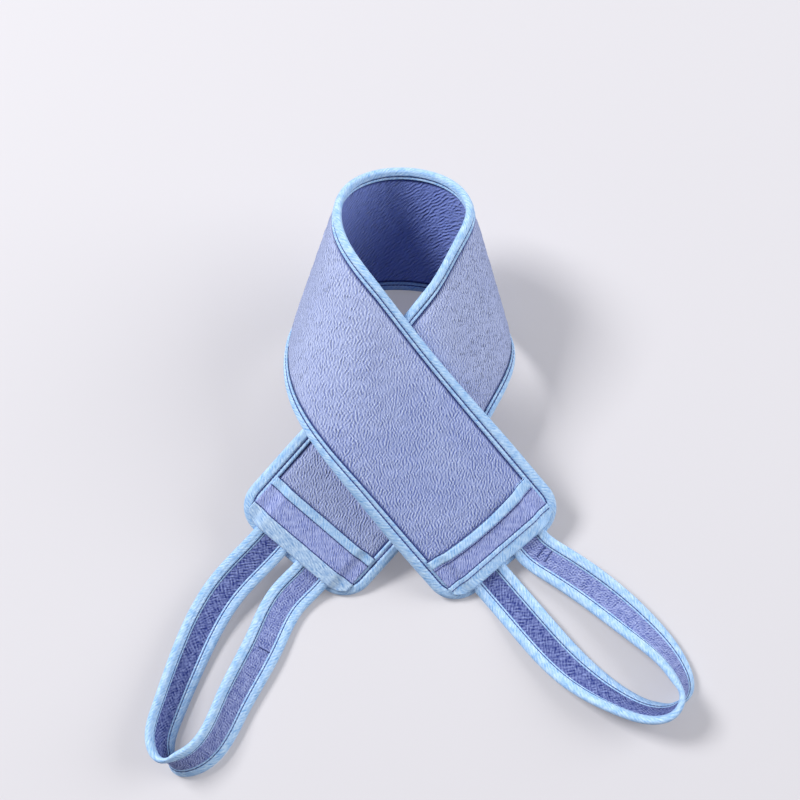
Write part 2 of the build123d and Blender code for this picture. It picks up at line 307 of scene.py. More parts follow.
# %% [markdown]
# ## Small helpers
#
# A mesh is read and written as a table of places, so one function can shape a whole
# piece. A new piece starts as a grid, the way cloth starts as a flat cut, with a UV map
# in millimetres so that knit and twill follow the cloth wherever it goes.


# %% Meshes as tables of places
def only(piece):
    """Select this piece and nothing else."""
    bpy.ops.object.select_all(action="DESELECT")
    piece.select_set(True)
    bpy.context.view_layer.objects.active = piece


def places(piece):
    """The piece's points in millimetres."""
    table = np.empty(len(piece.data.vertices) * 3, np.float32)
    piece.data.vertices.foreach_get("co", table)
    return table.reshape(-1, 3).astype(float) / MM


def set_places(piece, table):
    """Move the piece's points to these places in millimetres."""
    piece.data.vertices.foreach_set("co", (table * MM).astype(np.float32).ravel())
    piece.data.update()


def grid(name, length, width, step, step_across=None):
    """A flat cut of cloth, centred on the origin, with its UV map in millimetres."""
    columns = max(2, round(length / step))
    rows = max(2, round(width / (step_across or step)))
    bpy.ops.object.select_all(action="DESELECT")
    bpy.ops.mesh.primitive_grid_add(x_subdivisions=columns, y_subdivisions=rows, size=1)
    piece = bpy.context.object
    piece.name = name
    piece.data.name = name
    piece.scale = (length * MM, width * MM, 1)
    bpy.ops.object.transform_apply(location=False, rotation=False, scale=True)
    corners = np.empty(len(piece.data.loops), np.int32)
    piece.data.loops.foreach_get("vertex_index", corners)
    uv = places(piece)[corners, :2]
    piece.data.uv_layers[0].name = "cloth"
    piece.data.uv_layers["cloth"].data.foreach_set("uv", uv.astype(np.float32).ravel())
    return piece


def turn_over(piece):
    """Let the other face of a cloth be the one that shows."""
    only(piece)
    bpy.ops.object.mode_set(mode="EDIT")
    bpy.ops.mesh.select_all(action="SELECT")
    bpy.ops.mesh.flip_normals()
    bpy.ops.object.mode_set(mode="OBJECT")


def thicken(piece, thickness):
    """Give a cloth its thickness, inward from the face that shows, as a closed shell."""
    only(piece)
    solid = piece.modifiers.new("thickness", "SOLIDIFY")
    solid.thickness = thickness * MM
    solid.offset = -1
    solid.use_even_offset = False
    bpy.ops.object.modifier_apply(modifier="thickness")
    bpy.ops.object.shade_smooth()


def dress(piece, material, slot, *nodes):
    """Give a piece its finish and hide the solids it stands for. Its kind, slot, is not used."""
    piece.data.materials.append(material)
    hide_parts(*nodes)


def smoothstep(part):
    """From 0 to 1 with a soft start and end."""
    part = np.clip(part, 0, 1)
    return part * part * (3 - 2 * part)


QUICK_STEP = 1
print("mesh steps times", QUICK_STEP)

# %% [markdown]
# ## The finishes
#
# All of it is polyester and cotton cloth, so nothing shines: rough surfaces with a little
# sheen from loose fibres, and colour that gets darker between the yarns. The patterns are
# drawn on the UV map, in millimetres, at the size of the real yarns where those can be
# seen and a little coarser where they can't.


# %% Helpers for materials
CLOTH_SPECULAR = 0.25
SHEEN_ROUGHNESS = 0.3
SHEEN_TINT = "#C4D2FC"


def shade(hex_colour):
    """A colour written in sRGB hex, as linear numbers."""
    parts = [int(hex_colour[i:i + 2], 16) / 255 for i in (1, 3, 5)]
    linear = [p / 12.92 if p <= 0.04045 else ((p + 0.055) / 1.055) ** 2.4 for p in parts]
    return (*linear, 1.0)


def node(tree, kind, settings=None, links=None):
    """Add one node, set its properties and sockets, and link other nodes' outputs to it.
    A Mix node has sockets of one name for each kind of data, so for a colour they are
    told by number: 0 is the factor, 6 and 7 the colours, and output 2 the result."""
    made = tree.nodes.new(kind)
    for name, value in (settings or {}).items():
        if isinstance(name, str) and hasattr(made, name):
            setattr(made, name, value)
        else:
            made.inputs[name].default_value = value
    for name, source in (links or {}).items():
        tree.links.new(source, made.inputs[name])
    return made


def cloth_base(name, roughness, sheen):
    """A cloth material: its node tree, its shader, and its UV map as the pattern's place."""
    material = bpy.data.materials.new(name)
    material.use_nodes = True
    tree = material.node_tree
    shader = tree.nodes["Principled BSDF"]
    shader.inputs["Roughness"].default_value = roughness
    shader.inputs["Specular IOR Level"].default_value = CLOTH_SPECULAR
    shader.inputs["Sheen Weight"].default_value = sheen
    shader.inputs["Sheen Roughness"].default_value = SHEEN_ROUGHNESS
    shader.inputs["Sheen Tint"].default_value = shade(SHEEN_TINT)
    place = node(tree, "ShaderNodeUVMap", {"uv_map": "cloth"}).outputs["UV"]
    return material, tree, shader, place


def stops(tree, value, dark, light, low, high):
    """A ramp between two colours, from value low to value high."""
    ramp = node(tree, "ShaderNodeValToRGB", links={"Fac": value})
    for stop, position, colour in zip(ramp.color_ramp.elements, (low, high), (dark, light)):
        stop.position = position
        stop.color = shade(colour)
    return ramp.outputs["Color"]


def noise(tree, place, scale, detail, roughness=0.5):
    """A soft noise, its scale in ripples to the millimetre."""
    return node(tree, "ShaderNodeTexNoise", {"Scale": scale, "Detail": detail,
                "Roughness": roughness}, {"Vector": place}).outputs["Fac"]


def mixed(tree, share, one, other):
    """One pattern with this share of another."""
    return node(tree, "ShaderNodeMix", {"Factor": share},
                {"A": one, "B": other}).outputs["Result"]


def patterned(tree, shader, colour, height, distance, strength):
    """Colour and bump on the shader, the bump's distance in millimetres."""
    bump = node(tree, "ShaderNodeBump", {"Distance": distance * MM, "Strength": strength},
                {"Height": height})
    tree.links.new(bump.outputs["Normal"], shader.inputs["Normal"])
    tree.links.new(colour, shader.inputs["Base Color"])


# %% [markdown]
# The scrubbing faces are terry, a knit with a pile of loops. Its loops lean together in
# short wavering ridges about 2 mm apart. That is too fine for the mesh, so a Gabor texture
# draws them: it is a noise with one size of ripple and one leading direction, which suits
# everything that is combed, brushed or knitted. It sets both colour and bump. Beside a tape
# the cloth is darkened with painted shade, for the shadow of the tape's edge, and round the
# hoop its outside is lightened with a painted highlight. Three numbers on each point of the
# mesh steer this: one says how far the cloth is out from under the tape, one how strong the
# painted highlight is, and lean turns the ridges.


# %% Loop-pile terry
KERNEL = 1.6            # size of one patch of ripples, in ripples
FIBRES = 2.2, 2.0       # scale and detail of loose fibres, about half a millimetre apart
# painted shade for the terry beside a tape
SEAM_SHADE_COLOUR = "#2F3C80"
# painted highlight on the outside of the hoop
HOOP_HIGHLIGHT_COLOUR = "#E2EAFF"


def ripples(tree, place, apart, across, order, lean=None):
    """Ridges this far apart, in millimetres, that follow each other across this angle."""
    kernel = KERNEL * apart
    links = {"Vector": place}
    if lean:
        links["Orientation 2D"] = lean
    return node(tree, "ShaderNodeTexGabor",
                {"Scale": 1 / kernel, "Frequency": kernel / apart, "Anisotropy": order,
                 "Orientation 2D": radians(across)}, links).outputs["Value"]


def terry_finish(name, valley, crest, order, apart, sheen, depth):
    """Knitted loop pile: ridges and loose fibres, with painted shade beside the tapes and a
    painted highlight round the hoop.
    """
    material, tree, shader, place = cloth_base(name, 0.92, sheen)
    lean, out_from_shaded_seam, painted_hoop_light = (
        node(tree, "ShaderNodeAttribute", {"attribute_name": label}).outputs["Fac"]
        for label in ("lean", "out_from_shaded_seam", "painted_hoop_light")
    )
    ridges = ripples(tree, place, apart, 0, order, lean)
    pile = mixed(tree, 0.25, ridges, noise(tree, place, *FIBRES))
    tone = mixed(tree, 0.08, pile, noise(tree, place, 0.05, 2.0))
    colour = stops(tree, tone, valley, crest, 0.38, 0.64)
    # a painted highlight round the hoop
    hoop_highlight = node(tree, "ShaderNodeMix", {"data_type": "RGBA", 7: shade(HOOP_HIGHLIGHT_COLOUR)},
                  {0: painted_hoop_light, 6: colour})
    # painted shade beside the tapes, laid over the rest
    seam_shade = node(tree, "ShaderNodeMix", {"data_type": "RGBA", 6: shade(SEAM_SHADE_COLOUR)},
                  {0: out_from_shaded_seam, 7: hoop_highlight.outputs[2]})
    patterned(tree, shader, seam_shade.outputs[2], pile, depth, 1.0)
    return material


# %% [markdown]
# The binding tape is a soft cotton twill: its yarns cross in steps, which draws fine
# slanted lines. They are drawn 1.7 mm apart, a little coarser than the real ones, and
# faint, because the yarns are fluffy: the tape looks mottled more than lined.


# %% Twill tape
def twill_finish(name, groove, crest, lines_apart, slant):
    """Woven tape with slanted lines, set by the distance between them in millimetres."""
    material, tree, shader, place = cloth_base(name, 0.78, 0.3)
    lines = ripples(tree, place, lines_apart, slant, 0.97)
    fibres = noise(tree, place, *FIBRES)
    fluff = mixed(tree, 0.25, noise(tree, place, 0.25, 4.0, 0.6), fibres)
    colour = stops(tree, mixed(tree, 0.68, lines, fluff), groove, crest, 0.33, 0.66)
    patterned(tree, shader, colour, mixed(tree, 0.4, lines, fibres), 0.4, 0.7)
    return material


# %% [markdown]
# The bands and the faces of the hand loops are a thinner polyester knit with a fine
# grain. The loops' lining is a coarse knit of round stitches with dark gaps, drawn as two
# sets of ripples that cross. The sewing thread is a navy polyester, dull beside the
# cloth, and the foam inside is a pale polyurethane that no side of the object shows.


# %% Thin knit, coarse lining and thread
def knit_finish(name, valley, crest, apart, across, order, depth):
    """Thin knit: fine ridges and a slow change of tone."""
    material, tree, shader, place = cloth_base(name, 0.85, 0.3)
    grains = ripples(tree, place, apart, across, order)
    tone = mixed(tree, 0.4, grains, noise(tree, place, 0.3, 3.0))
    colour = stops(tree, tone, valley, crest, 0.34, 0.66)
    patterned(tree, shader, colour, grains, depth, 0.8)
    return material


def lining_finish(name, gap, yarn, stitches_apart):
    """Coarse knit: slanted rows of round stitches over dark gaps, matted in places."""
    material, tree, shader, place = cloth_base(name, 0.9, 0.35)
    one_way = ripples(tree, place, stitches_apart, 38, 0.9)
    other_way = ripples(tree, place, stitches_apart * 0.9, -44, 0.9)
    stitches = mixed(tree, 0.5, one_way, other_way)
    tone = mixed(tree, 0.4, stitches, noise(tree, place, 0.3, 3.0, 0.6))
    patterned(tree, shader, stops(tree, tone, gap, yarn, 0.4, 0.62), stitches, 1.4, 0.9)
    return material


def plain_finish(name, colour):
    """One dull colour, for thread and foam."""
    material = bpy.data.materials.new(name)
    material.use_nodes = True
    shader = material.node_tree.nodes["Principled BSDF"]
    shader.inputs["Base Color"].default_value = shade(colour)
    shader.inputs["Roughness"].default_value = 0.7
    shader.inputs["Sheen Weight"].default_value = 0.2
    return material


# %% [markdown]
# Nine finishes come out of these. The inner terry is more ribbed than the outer, because
# it is pressed together inside the hoop, and its colour is flatter, with darker crests,
# which is painted shade for the inside of the hoop. The tape at the left end has bolder
# lines that run more along it.

# %% The object's finishes
TERRY = terry_finish("loop_pile_terry", "#6475BA", "#C9D5F6",
                     order=0.62, apart=1.75, sheen=1.0, depth=1.6)
# its darker, flatter crests are painted shade for the inside of the hoop
SHADED_RIBBED_TERRY = terry_finish("shaded_ribbed_inner_terry", "#6A7BC1", "#8A9BDB",
                            order=0.9, apart=2.3, sheen=0.3, depth=2.3)
TAPE = twill_finish("twill_tape", "#74A7DE", "#CAE4FB", lines_apart=1.7, slant=-52)
BOLD_TAPE = twill_finish("bold_twill_tape", "#6795CC", "#D2E8FB", lines_apart=1.7, slant=-17)
BAND_KNIT = knit_finish("band_knit", "#6473BA", "#BECAF4",
                        apart=1.4, across=-50, order=0.85, depth=1.0)
KNIT = knit_finish("loop_knit", "#46549A", "#A3AFDD",
                   apart=1.6, across=-50, order=0.3, depth=1.1)
LINING = lining_finish("coarse_lining", "#26347A", "#8592C6", stitches_apart=2.0)
THREAD = plain_finish("navy_thread", "#2E3E80")
FOAM = plain_finish("pale_foam", "#D8DAE6")
finishes = (TERRY, SHADED_RIBBED_TERRY, TAPE, BOLD_TAPE, BAND_KNIT, KNIT, LINING, THREAD, FOAM)
print("finishes", [finish.name for finish in finishes])

# %% [markdown]
# ## The padded strap
#
# Each face of the strap is one cut of terry over a thin foam. A grid is cut to the
# strap's outline by drawing its four corners in to an arc. The foam lifts the cloth in
# the middle, and the seam under the tape holds it down at the edge.


# %% The outline of the strap
def rounded(table, half_length, half_width, radius):
    """Draw the corners of a rectangular cut in to arcs of this radius."""
    into = np.abs(table[:, :2]) - (half_length - radius, half_width - radius)
    corner = (into > 0).all(axis=1)
    reach = np.maximum(np.hypot(*into.T), 1e-9)
    keep = np.where(corner, into.max(axis=1) / reach, 1)
    table[:, :2] += np.sign(table[:, :2]) * into * (keep - 1)[:, None]
    return table


def inset_of(table, half_length, half_width, radius):
    """How far each place is inside the rounded outline."""
    room = (half_length, half_width) - np.abs(table[:, :2])
    into = np.maximum(radius - room, 0)
    corner = (into > 0).all(axis=1)
    return np.where(corner, radius - np.hypot(*into.T), room.min(axis=1))


# %% [markdown]
# The padding is never quite even. Its lumps come from seeded noise with all but one size
# of ripple filtered out, which gives soft hills at an even distance.


# %% The lumps of the padding
LUMPS_APART = 9.0
LUMP_HEIGHT = 0.35
LUMP_SPREAD = 0.6       # how much the sizes of the hills differ


def lumps(columns, rows, length, width, seed):
    """Heights from 0 to 1 on a grid: soft hills at an even distance."""
    noise = np.random.default_rng(seed).standard_normal((columns, rows))
    across_x = np.fft.fftfreq(columns, length / columns)[:, None]
    across_y = np.fft.fftfreq(rows, width / rows)[None, :]
    ripple = np.hypot(across_x, across_y)
    band = np.exp(-(((ripple - 1 / LUMPS_APART) * LUMPS_APART / LUMP_SPREAD) ** 2))
    height = np.fft.ifft2(np.fft.fft2(noise) * band).real
    return 0.5 + 0.5 * np.tanh(height / height.std())


# %% [markdown]
# Both faces end inside the tape, where the seam holds them down, and swell over the foam
# from there. On the outside a painted highlight lies round the hoop, for the light it
# catches there. It fades again towards the flat ends, and less so on the arm that lies
# under. The foam is one more layer between them, rolled up in the same way. All three are
# closed shells, as padded pieces have to be.


# %% The two faces and the foam
UNDER_TAPE = 3.0        # the faces end this far inside the strap's edge
FACE_STEP = 1.5
FACE_THICKNESS = 1.0
FACE_HEIGHT = 1.2       # of a face at its seam, over the strap's middle layer
SWELL_LENGTH = 4.0
# the painted shade beside a tape fades out over this span, and the lumps fade in
TUCK_START, TUCK_LENGTH = 0.3, 1.7
LEAN_SPAN = 90.0        # the pile's lean turns between this far before and past the middle
# the painted highlight round the hoop: its strength, and where it fades towards the flat ends
HOOP_HIGHLIGHT_SHARE = 0.2
HIGHLIGHT_FADE_FROM, HIGHLIGHT_FADE_LENGTH = 115, 100
UNDER_ARM_FADE = 0.4      # share of the painted highlight's fade that the arm lying under gets
FOAM_INSET = 8.0
FOAM_STEP = 4.0


def terry_face(name, node_name, side, seed, swell, leans, finish):
    """One face of the strap, side +1 outside or -1 inside. The two leans say how the pile
    leans on each arm, in degrees; between them it turns slowly."""
    half_length, half_width = PAD_HALF_LENGTH - UNDER_TAPE, HALF_WIDTH - UNDER_TAPE
    piece = grid(name, 2 * half_length, 2 * half_width, FACE_STEP * QUICK_STEP)
    table = places(piece)
    columns = len(np.unique(table[:, 0].round(4)))
    rows = len(table) // columns
    order = np.lexsort((table[:, 1], table[:, 0]))
    pile = np.empty(len(table))
    pile[order] = lumps(columns, rows, 2 * half_length, 2 * half_width, seed).ravel()
    table = rounded(table, half_length, half_width, CORNER_RADIUS - UNDER_TAPE)
    inset = inset_of(table, half_length, half_width, CORNER_RADIUS - UNDER_TAPE)
    inside_tape = inset - (TAPE_WIDTH - UNDER_TAPE)
    height = FACE_HEIGHT + swell * (1 - np.exp(-np.maximum(inside_tape, 0) / SWELL_LENGTH))
    # the mask of the painted shade beside the tape, which also fades the lumps in
    out_from_shaded_seam = smoothstep((inside_tape - TUCK_START) / TUCK_LENGTH)
    table[:, 2] = side * (height + LUMP_HEIGHT * out_from_shaded_seam * pile)
    if side < 0:
        turn_over(piece)
    set_places(piece, rolled(table))
    along = table[:, 0]
    lean = np.radians(np.interp(along, (-LEAN_SPAN, LEAN_SPAN), leans))
    # the painted highlight fades towards the flat ends, less on the arm that lies under
    closed = smoothstep((np.abs(along) - HIGHLIGHT_FADE_FROM) / HIGHLIGHT_FADE_LENGTH)
    closed = closed * np.where(along > 0, UNDER_ARM_FADE, 1)
    painted_hoop_light = HOOP_HIGHLIGHT_SHARE * (1 - closed) * (side > 0)
    for label, values in (("out_from_shaded_seam", out_from_shaded_seam), ("lean", lean), ("painted_hoop_light", painted_hoop_light)):
        layer = piece.data.attributes.new(label, "FLOAT", "POINT")
        layer.data.foreach_set("value", values.astype(np.float32))
    thicken(piece, FACE_THICKNESS)
    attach(piece, "pad")
    dress(piece, finish, "terry", node_name)
    print(name, "points", len(piece.data.vertices))


foam_length, foam_width = PAD_HALF_LENGTH - FOAM_INSET, HALF_WIDTH - FOAM_INSET
foam_layer = grid("foam_layer", 2 * foam_length, 2 * foam_width, FOAM_STEP * QUICK_STEP)
table = rounded(places(foam_layer), foam_length, foam_width, CORNER_RADIUS - FOAM_INSET)
table[:, 2] = FOAM_THICKNESS / 2
set_places(foam_layer, rolled(table))
thicken(foam_layer, FOAM_THICKNESS)
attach(foam_layer, "pad")
dress(foam_layer, FOAM, "foam", "foam_core")
terry_face("outer_terry", "scrub_face", 1, seed=3, swell=1.3, leans=(50, -50), finish=TERRY)
terry_face("inner_terry", "back_face", -1, seed=8, swell=0.6, leans=(30, 62),
           finish=SHADED_RIBBED_TERRY)

# %% [markdown]
# ## Binding tape
#
# The raw edge of the strap is bound in twill tape. A tape is cut as a long flat strip and
# folded over the edge: its place on the strip is the distance round the outline and the
# distance across the tape, and `folded` turns that into a place on the flat strap. Across
# the tape the strip goes up from the seam, over a soft roll, round the edge and back on
# the other face. The stitch line pulls a shallow groove into it. Near the strap's ends
# the tape is fuller and reaches further out.


# %% The fold of the tape
TAPE_ROLL = 2.5
TAPE_SWELL, TAPE_SWELL_LENGTH = 0.3, 2.6
STITCH_INSET = 4.8
GROOVE_DEPTH, GROOVE_HALF = 0.75, 0.6
HEM_DROP, HEM_LENGTH = 0.9, 0.4
END_PUFF = 2.0
PUFF_FROM, PUFF_LENGTH = 170, 90
TAPE_THICKNESS = 0.5
FOLD_HALF = TAPE_WIDTH - TAPE_ROLL + pi / 2 * TAPE_ROLL


def roll_over(across, roll, swell, swell_length):
    """A tape rolled over an edge: the face it is on, the inset from the edge and the height,
    for a distance across the tape from its middle."""
    face = np.where(across >= 0, 1.0, -1.0)
    turn = np.minimum(np.abs(across) / roll, pi / 2)
    beyond = np.maximum(np.abs(across) - roll * pi / 2, 0)
    inset = roll * (1 - np.cos(turn)) + beyond
    height = roll * np.sin(turn) + swell * np.sin(np.minimum(beyond / swell_length, 1) * pi)
    return face, inset, height


def folded(strip):
    """Flat strap places for places on the tape's strip: round, across, and lifted off it."""
    face, inset, height = roll_over(strip[:, 1], TAPE_ROLL, TAPE_SWELL, TAPE_SWELL_LENGTH)
    height -= GROOVE_DEPTH * np.exp(-(((inset - STITCH_INSET) / GROOVE_HALF) ** 2))
    height -= HEM_DROP * smoothstep((inset - TAPE_WIDTH + HEM_LENGTH) / HEM_LENGTH)
    along = np.abs(on_outline(strip[:, 0], inset)[0])
    near_end = smoothstep((along - PUFF_FROM) / PUFF_LENGTH)
    inset = inset - END_PUFF * near_end * (1 - inset / TAPE_WIDTH)
    x, y = on_outline(strip[:, 0], inset)
    return np.stack([x, y, face * (height + strip[:, 2])], axis=1)


def close_ring(piece):
    """Join the two ends of a strip that meet."""
    only(piece)
    bpy.ops.object.mode_set(mode="EDIT")
    bpy.ops.mesh.select_all(action="SELECT")
    bpy.ops.mesh.remove_doubles(threshold=0.02 * MM)
    bpy.ops.mesh.normals_make_consistent(inside=False)
    bpy.ops.object.mode_set(mode="OBJECT")


edge_binding = grid("edge_binding", OUTLINE, 2 * FOLD_HALF,
                    step=1.7 * QUICK_STEP, step_across=0.5)
set_places(edge_binding, rolled(folded(places(edge_binding))))
close_ring(edge_binding)
thicken(edge_binding, TAPE_THICKNESS)
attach(edge_binding, "pad")
dress(edge_binding, TAPE, "tape", "edge_tape")
print("edge binding", len(edge_binding.data.vertices), "points, round", round(OUTLINE), "mm")

# %% [markdown]
# ## Sewing
#
# A seam is one stitch modelled once and repeated by an Array modifier along its strip,
# and the row of stitches is then folded and rolled with the tape it is sewn through. The
# stitches overlap a little, so that the row reads as one dark line with a fine beat.


# %% One row of stitches
STITCH_LENGTH = 3.2
STITCH_PITCH = 2.6
THREAD_WIDTH = 0.75
EDGE_SEAM_LIFT = 0.1


def stitch_row(name, start, stop):
    """A straight row of stitches along x, from start to stop, at y and z zero."""
    count = max(1, int((stop - start) / STITCH_PITCH))
    bpy.ops.object.select_all(action="DESELECT")
    bpy.ops.mesh.primitive_uv_sphere_add(segments=6, ring_count=5, radius=0.5)
    row = bpy.context.object
    row.name = name
    row.data.name = name
    row.rotation_euler = (0, radians(90), 0)
    bpy.ops.object.transform_apply(location=False, rotation=True, scale=False)
    row.scale = (STITCH_LENGTH * MM, THREAD_WIDTH * MM, THREAD_WIDTH * MM)
    bpy.ops.object.transform_apply(location=False, rotation=False, scale=True)
    array = row.modifiers.new("row", "ARRAY")
    array.count = count
    array.use_relative_offset = False
    array.use_constant_offset = True
    array.constant_offset_displace = (STITCH_PITCH * MM, 0, 0)
    bpy.ops.object.modifier_apply(modifier="row")
    table = places(row)
    table[:, 0] += start + STITCH_PITCH / 2
    set_places(row, table)
    bpy.ops.object.shade_smooth()
    return row


def joined(name, rows):
    """Several rows of stitches as one piece."""
    bpy.ops.object.select_all(action="DESELECT")
    for row in rows:
        row.select_set(True)
    bpy.context.view_layer.objects.active = rows[0]
    bpy.ops.object.join()
    rows[0].name = name
    rows[0].data.name = name
    rows[0].data.materials.clear()
    rows[0].data.materials.append(THREAD)
    return rows[0]


seams = []
across_for_stitch = TAPE_ROLL * pi / 2 + STITCH_INSET - TAPE_ROLL
for side in (1, -1):
    row = stitch_row("edge_seam", -OUTLINE / 2, OUTLINE / 2)
    strip = places(row)
    strip[:, 1] = side * (across_for_stitch + strip[:, 1])
    strip[:, 2] += EDGE_SEAM_LIFT
    set_places(row, rolled(folded(strip)))
    seams.append(row)
edge_seams = joined("edge_seams", seams)
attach(edge_seams, "pad")
print("edge stitches", int(OUTLINE / STITCH_PITCH) * 2)

# %% [markdown]
# ## Bands
#
# Each end of the strap carries a band: a strip of knit between two tapes, sewn across the
# ends of the hand loop's strap. It is laid flat over them, so it stands higher where
# they are and drapes down beside them.

# %% The drape over the sewn ends
BAND_INSET = 6.5
BAND_WIDTH = 27.0
BAND_TAPE = 6.0
BAND_START = PAD_HALF_LENGTH - BAND_INSET
BAND_HALF = HALF_WIDTH - TAPE_WIDTH + 1.0
BAND_THICKNESS = 0.6
LOOP_WIDTH = 23.0
LOOP_THICKNESS = 2.4
LOOP_SPACING = 32.0     # between the middles of a loop's two sides
ROWS_HALF = LOOP_SPACING / 2 + LOOP_WIDTH / 2
DRAPE_LOW, DRAPE_RISE = 2.9, 2.3
DRAPE_LEAD, DRAPE_LENGTH = 1.0, 7.0
DIP_SHARE, DIP_HALF = 0.12, 4.0    # the dip between the two sewn ends
CORNER_INSET = 1.5      # how far inside the strap's round corner a band has to stay
CORNER_LEFT = 0.5       # where it stops narrowing, before the corner's arc ends


def drape(across):
    """Height of the cloth over the strap's middle layer, by its place across the strap."""
    over_rows = 1 - smoothstep((np.abs(across) - ROWS_HALF + DRAPE_LEAD) / DRAPE_LENGTH)
    between = np.exp(-((across / DIP_HALF) ** 2))
    return DRAPE_LOW + DRAPE_RISE * over_rows * (1 - DIP_SHARE * between)


def band_piece(name, arm, low, high, half, shape):
    """A strip across one end of the strap, between two distances along it. Its shape is a
    function of the part of its width and the place across, and gives a shift and a lift."""
    piece = grid(name, high - low, 2 * half, step=0.45, step_across=1.0 * QUICK_STEP)
    table = places(piece)
    along, across = table[:, 0] + (low + high) / 2, table[:, 1]
    corner = CORNER_RADIUS - CORNER_INSET
    into_corner = np.clip(along - PAD_HALF_LENGTH + CORNER_RADIUS, 0, corner - CORNER_LEFT)
    limit = HALF_WIDTH - CORNER_RADIUS + np.sqrt(corner**2 - into_corner**2)
    across = across * np.minimum(half, limit) / half
    shift, lift = shape((along - low) / (high - low), across / half)
    flat = np.stack([arm * (along + shift), across, drape(across) + lift], axis=1)
    if arm < 0:
        turn_over(piece)
    set_places(piece, rolled(flat))
    thicken(piece, BAND_THICKNESS)
    return piece


# %% [markdown]
# The strips differ in how they lie. The knit swells a little. A folded tape is flat with
# full round edges. The right end's inner tape is slack: only its ends are tight, so it
# hangs towards the end of the strap in between.


# %% How a strip of the band lies
PLAIN_SWELL = 0.25
FLAT_HEIGHT, FLAT_EDGE = 0.75, 0.12
SLACK, SEAM_SLACK = 3.2, 2.6    # how far the tape and its seam hang in the middle
WIDENING = 1.6
SLACK_HEIGHT, SLACK_RISE, SLACK_EDGE, SLACK_SINK = 0.9, 1.2, 0.25, 0.2


def round_edges(part, edge):
    """From 0 at both edges of a strip to 1 inside, in arcs over this part of its width."""
    rise = np.minimum(np.minimum(part, 1 - part) / edge, 1)
    return np.sqrt(np.maximum(rise * (2 - rise), 0))


def plain(part, side):
    """Flat cloth with a slight swell."""
    return 0 * part, PLAIN_SWELL * np.sqrt(np.sin(np.clip(part, 0, 1) * pi))


def flat_tape(part, side):
    """A folded tape that lies flat with full edges."""
    return 0 * part, FLAT_HEIGHT * round_edges(part, FLAT_EDGE)


def slack_tape(part, side):
    """A tape that is sewn tight at its ends and slack between: it hangs towards the end of
    the strap, stands up along that side, and is widest at its far end."""
    slack = np.cos(np.clip(side, -1, 1) * pi / 2)
    widen = WIDENING * smoothstep(-side) * (part - 0.5)
    height = SLACK_HEIGHT + SLACK_RISE * slack * part
    return SLACK * slack + widen, round_edges(part, SLACK_EDGE) * height - SLACK_SINK


# %% [markdown]
# The end tape reaches over the strap's own binding, as far as the round corners let it.
# A row of stitches runs on both sides of the inner tape and beside the end tape, and at
# the right end one more along the end tape.

# %% The two bands
END_TAPE_REACH = 4.4
END_TAPE_HALF = BAND_HALF + 0.5
KNIT_UNDER_INNER, KNIT_UNDER_END = 1.5, 1.0    # how far the knit goes under its two tapes
TAPE_SEAM_LIFT, KNIT_SEAM_LIFT = 0.7, 0.2
SEAM_BESIDE = 0.2       # from a tape's edge to the stitches before it
SEAM_AFTER = {"right": 1.5, "left": 0.1}    # and from the inner tape to those after it
SEAMS_ON_END = {"right": (3.0,), "left": ()}
for side, arm in (("right", OVER), ("left", UNDER)):
    inner_from, inner_to = BAND_START - BAND_WIDTH, BAND_START - BAND_WIDTH + BAND_TAPE
    outer_from, outer_to = BAND_START - BAND_TAPE, BAND_START + END_TAPE_REACH
    strip = band_piece(f"{side}_band_knit", arm, inner_to - KNIT_UNDER_INNER,
                       outer_from + KNIT_UNDER_END, BAND_HALF, plain)
    dress(strip, BAND_KNIT, "band", f"{side}_band")
    inner = band_piece(f"{side}_band_inner_tape", arm, inner_from, inner_to, BAND_HALF,
                       slack_tape if side == "right" else flat_tape)
    dress(inner, TAPE, "tape", f"{side}_inner_tape")
    outer = band_piece(f"{side}_band_end_tape", arm, outer_from, outer_to, END_TAPE_HALF,
                       flat_tape)
    dress(outer, TAPE if side == "right" else BOLD_TAPE, "tape", f"{side}_end_tape")
    for piece in (strip, inner, outer):
        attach(piece, "pad")
    rows = []
    seam_places = [inner_from - SEAM_BESIDE, inner_to + SEAM_AFTER[side],
                   outer_from - SEAM_BESIDE, *(outer_from + far for far in SEAMS_ON_END[side])]
    for along in seam_places:
        row = stitch_row("band_seam", -BAND_HALF, BAND_HALF)
        table = places(row)
        lift = TAPE_SEAM_LIFT if along > outer_from else KNIT_SEAM_LIFT
        hangs = side == "right" and along < outer_from - KNIT_UNDER_END
        hang = SEAM_SLACK * hangs * np.cos(table[:, 0] / BAND_HALF * pi / 2)
        flat = np.stack([arm * (along + hang + table[:, 1]), table[:, 0],
                         drape(table[:, 0]) + lift + table[:, 2]], axis=1)
        set_places(row, rolled(flat))
        rows.append(row)
    seam = joined(f"{side}_band_seams", rows)
    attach(seam, "pad")
    print(side, "band from", inner_from, "to", outer_to, "mm along the strap")

# %% [markdown]
# ## Hand loops
#
# A hand loop is one strap of cloth with bound edges. Both of its ends lie under the band,
# and it lies on the floor in a long ring that stands on edge at its far turn. Its middle
# line is a smooth curve through a few points, and its width turns from flat at the seam
# to nearly upright at the turn.

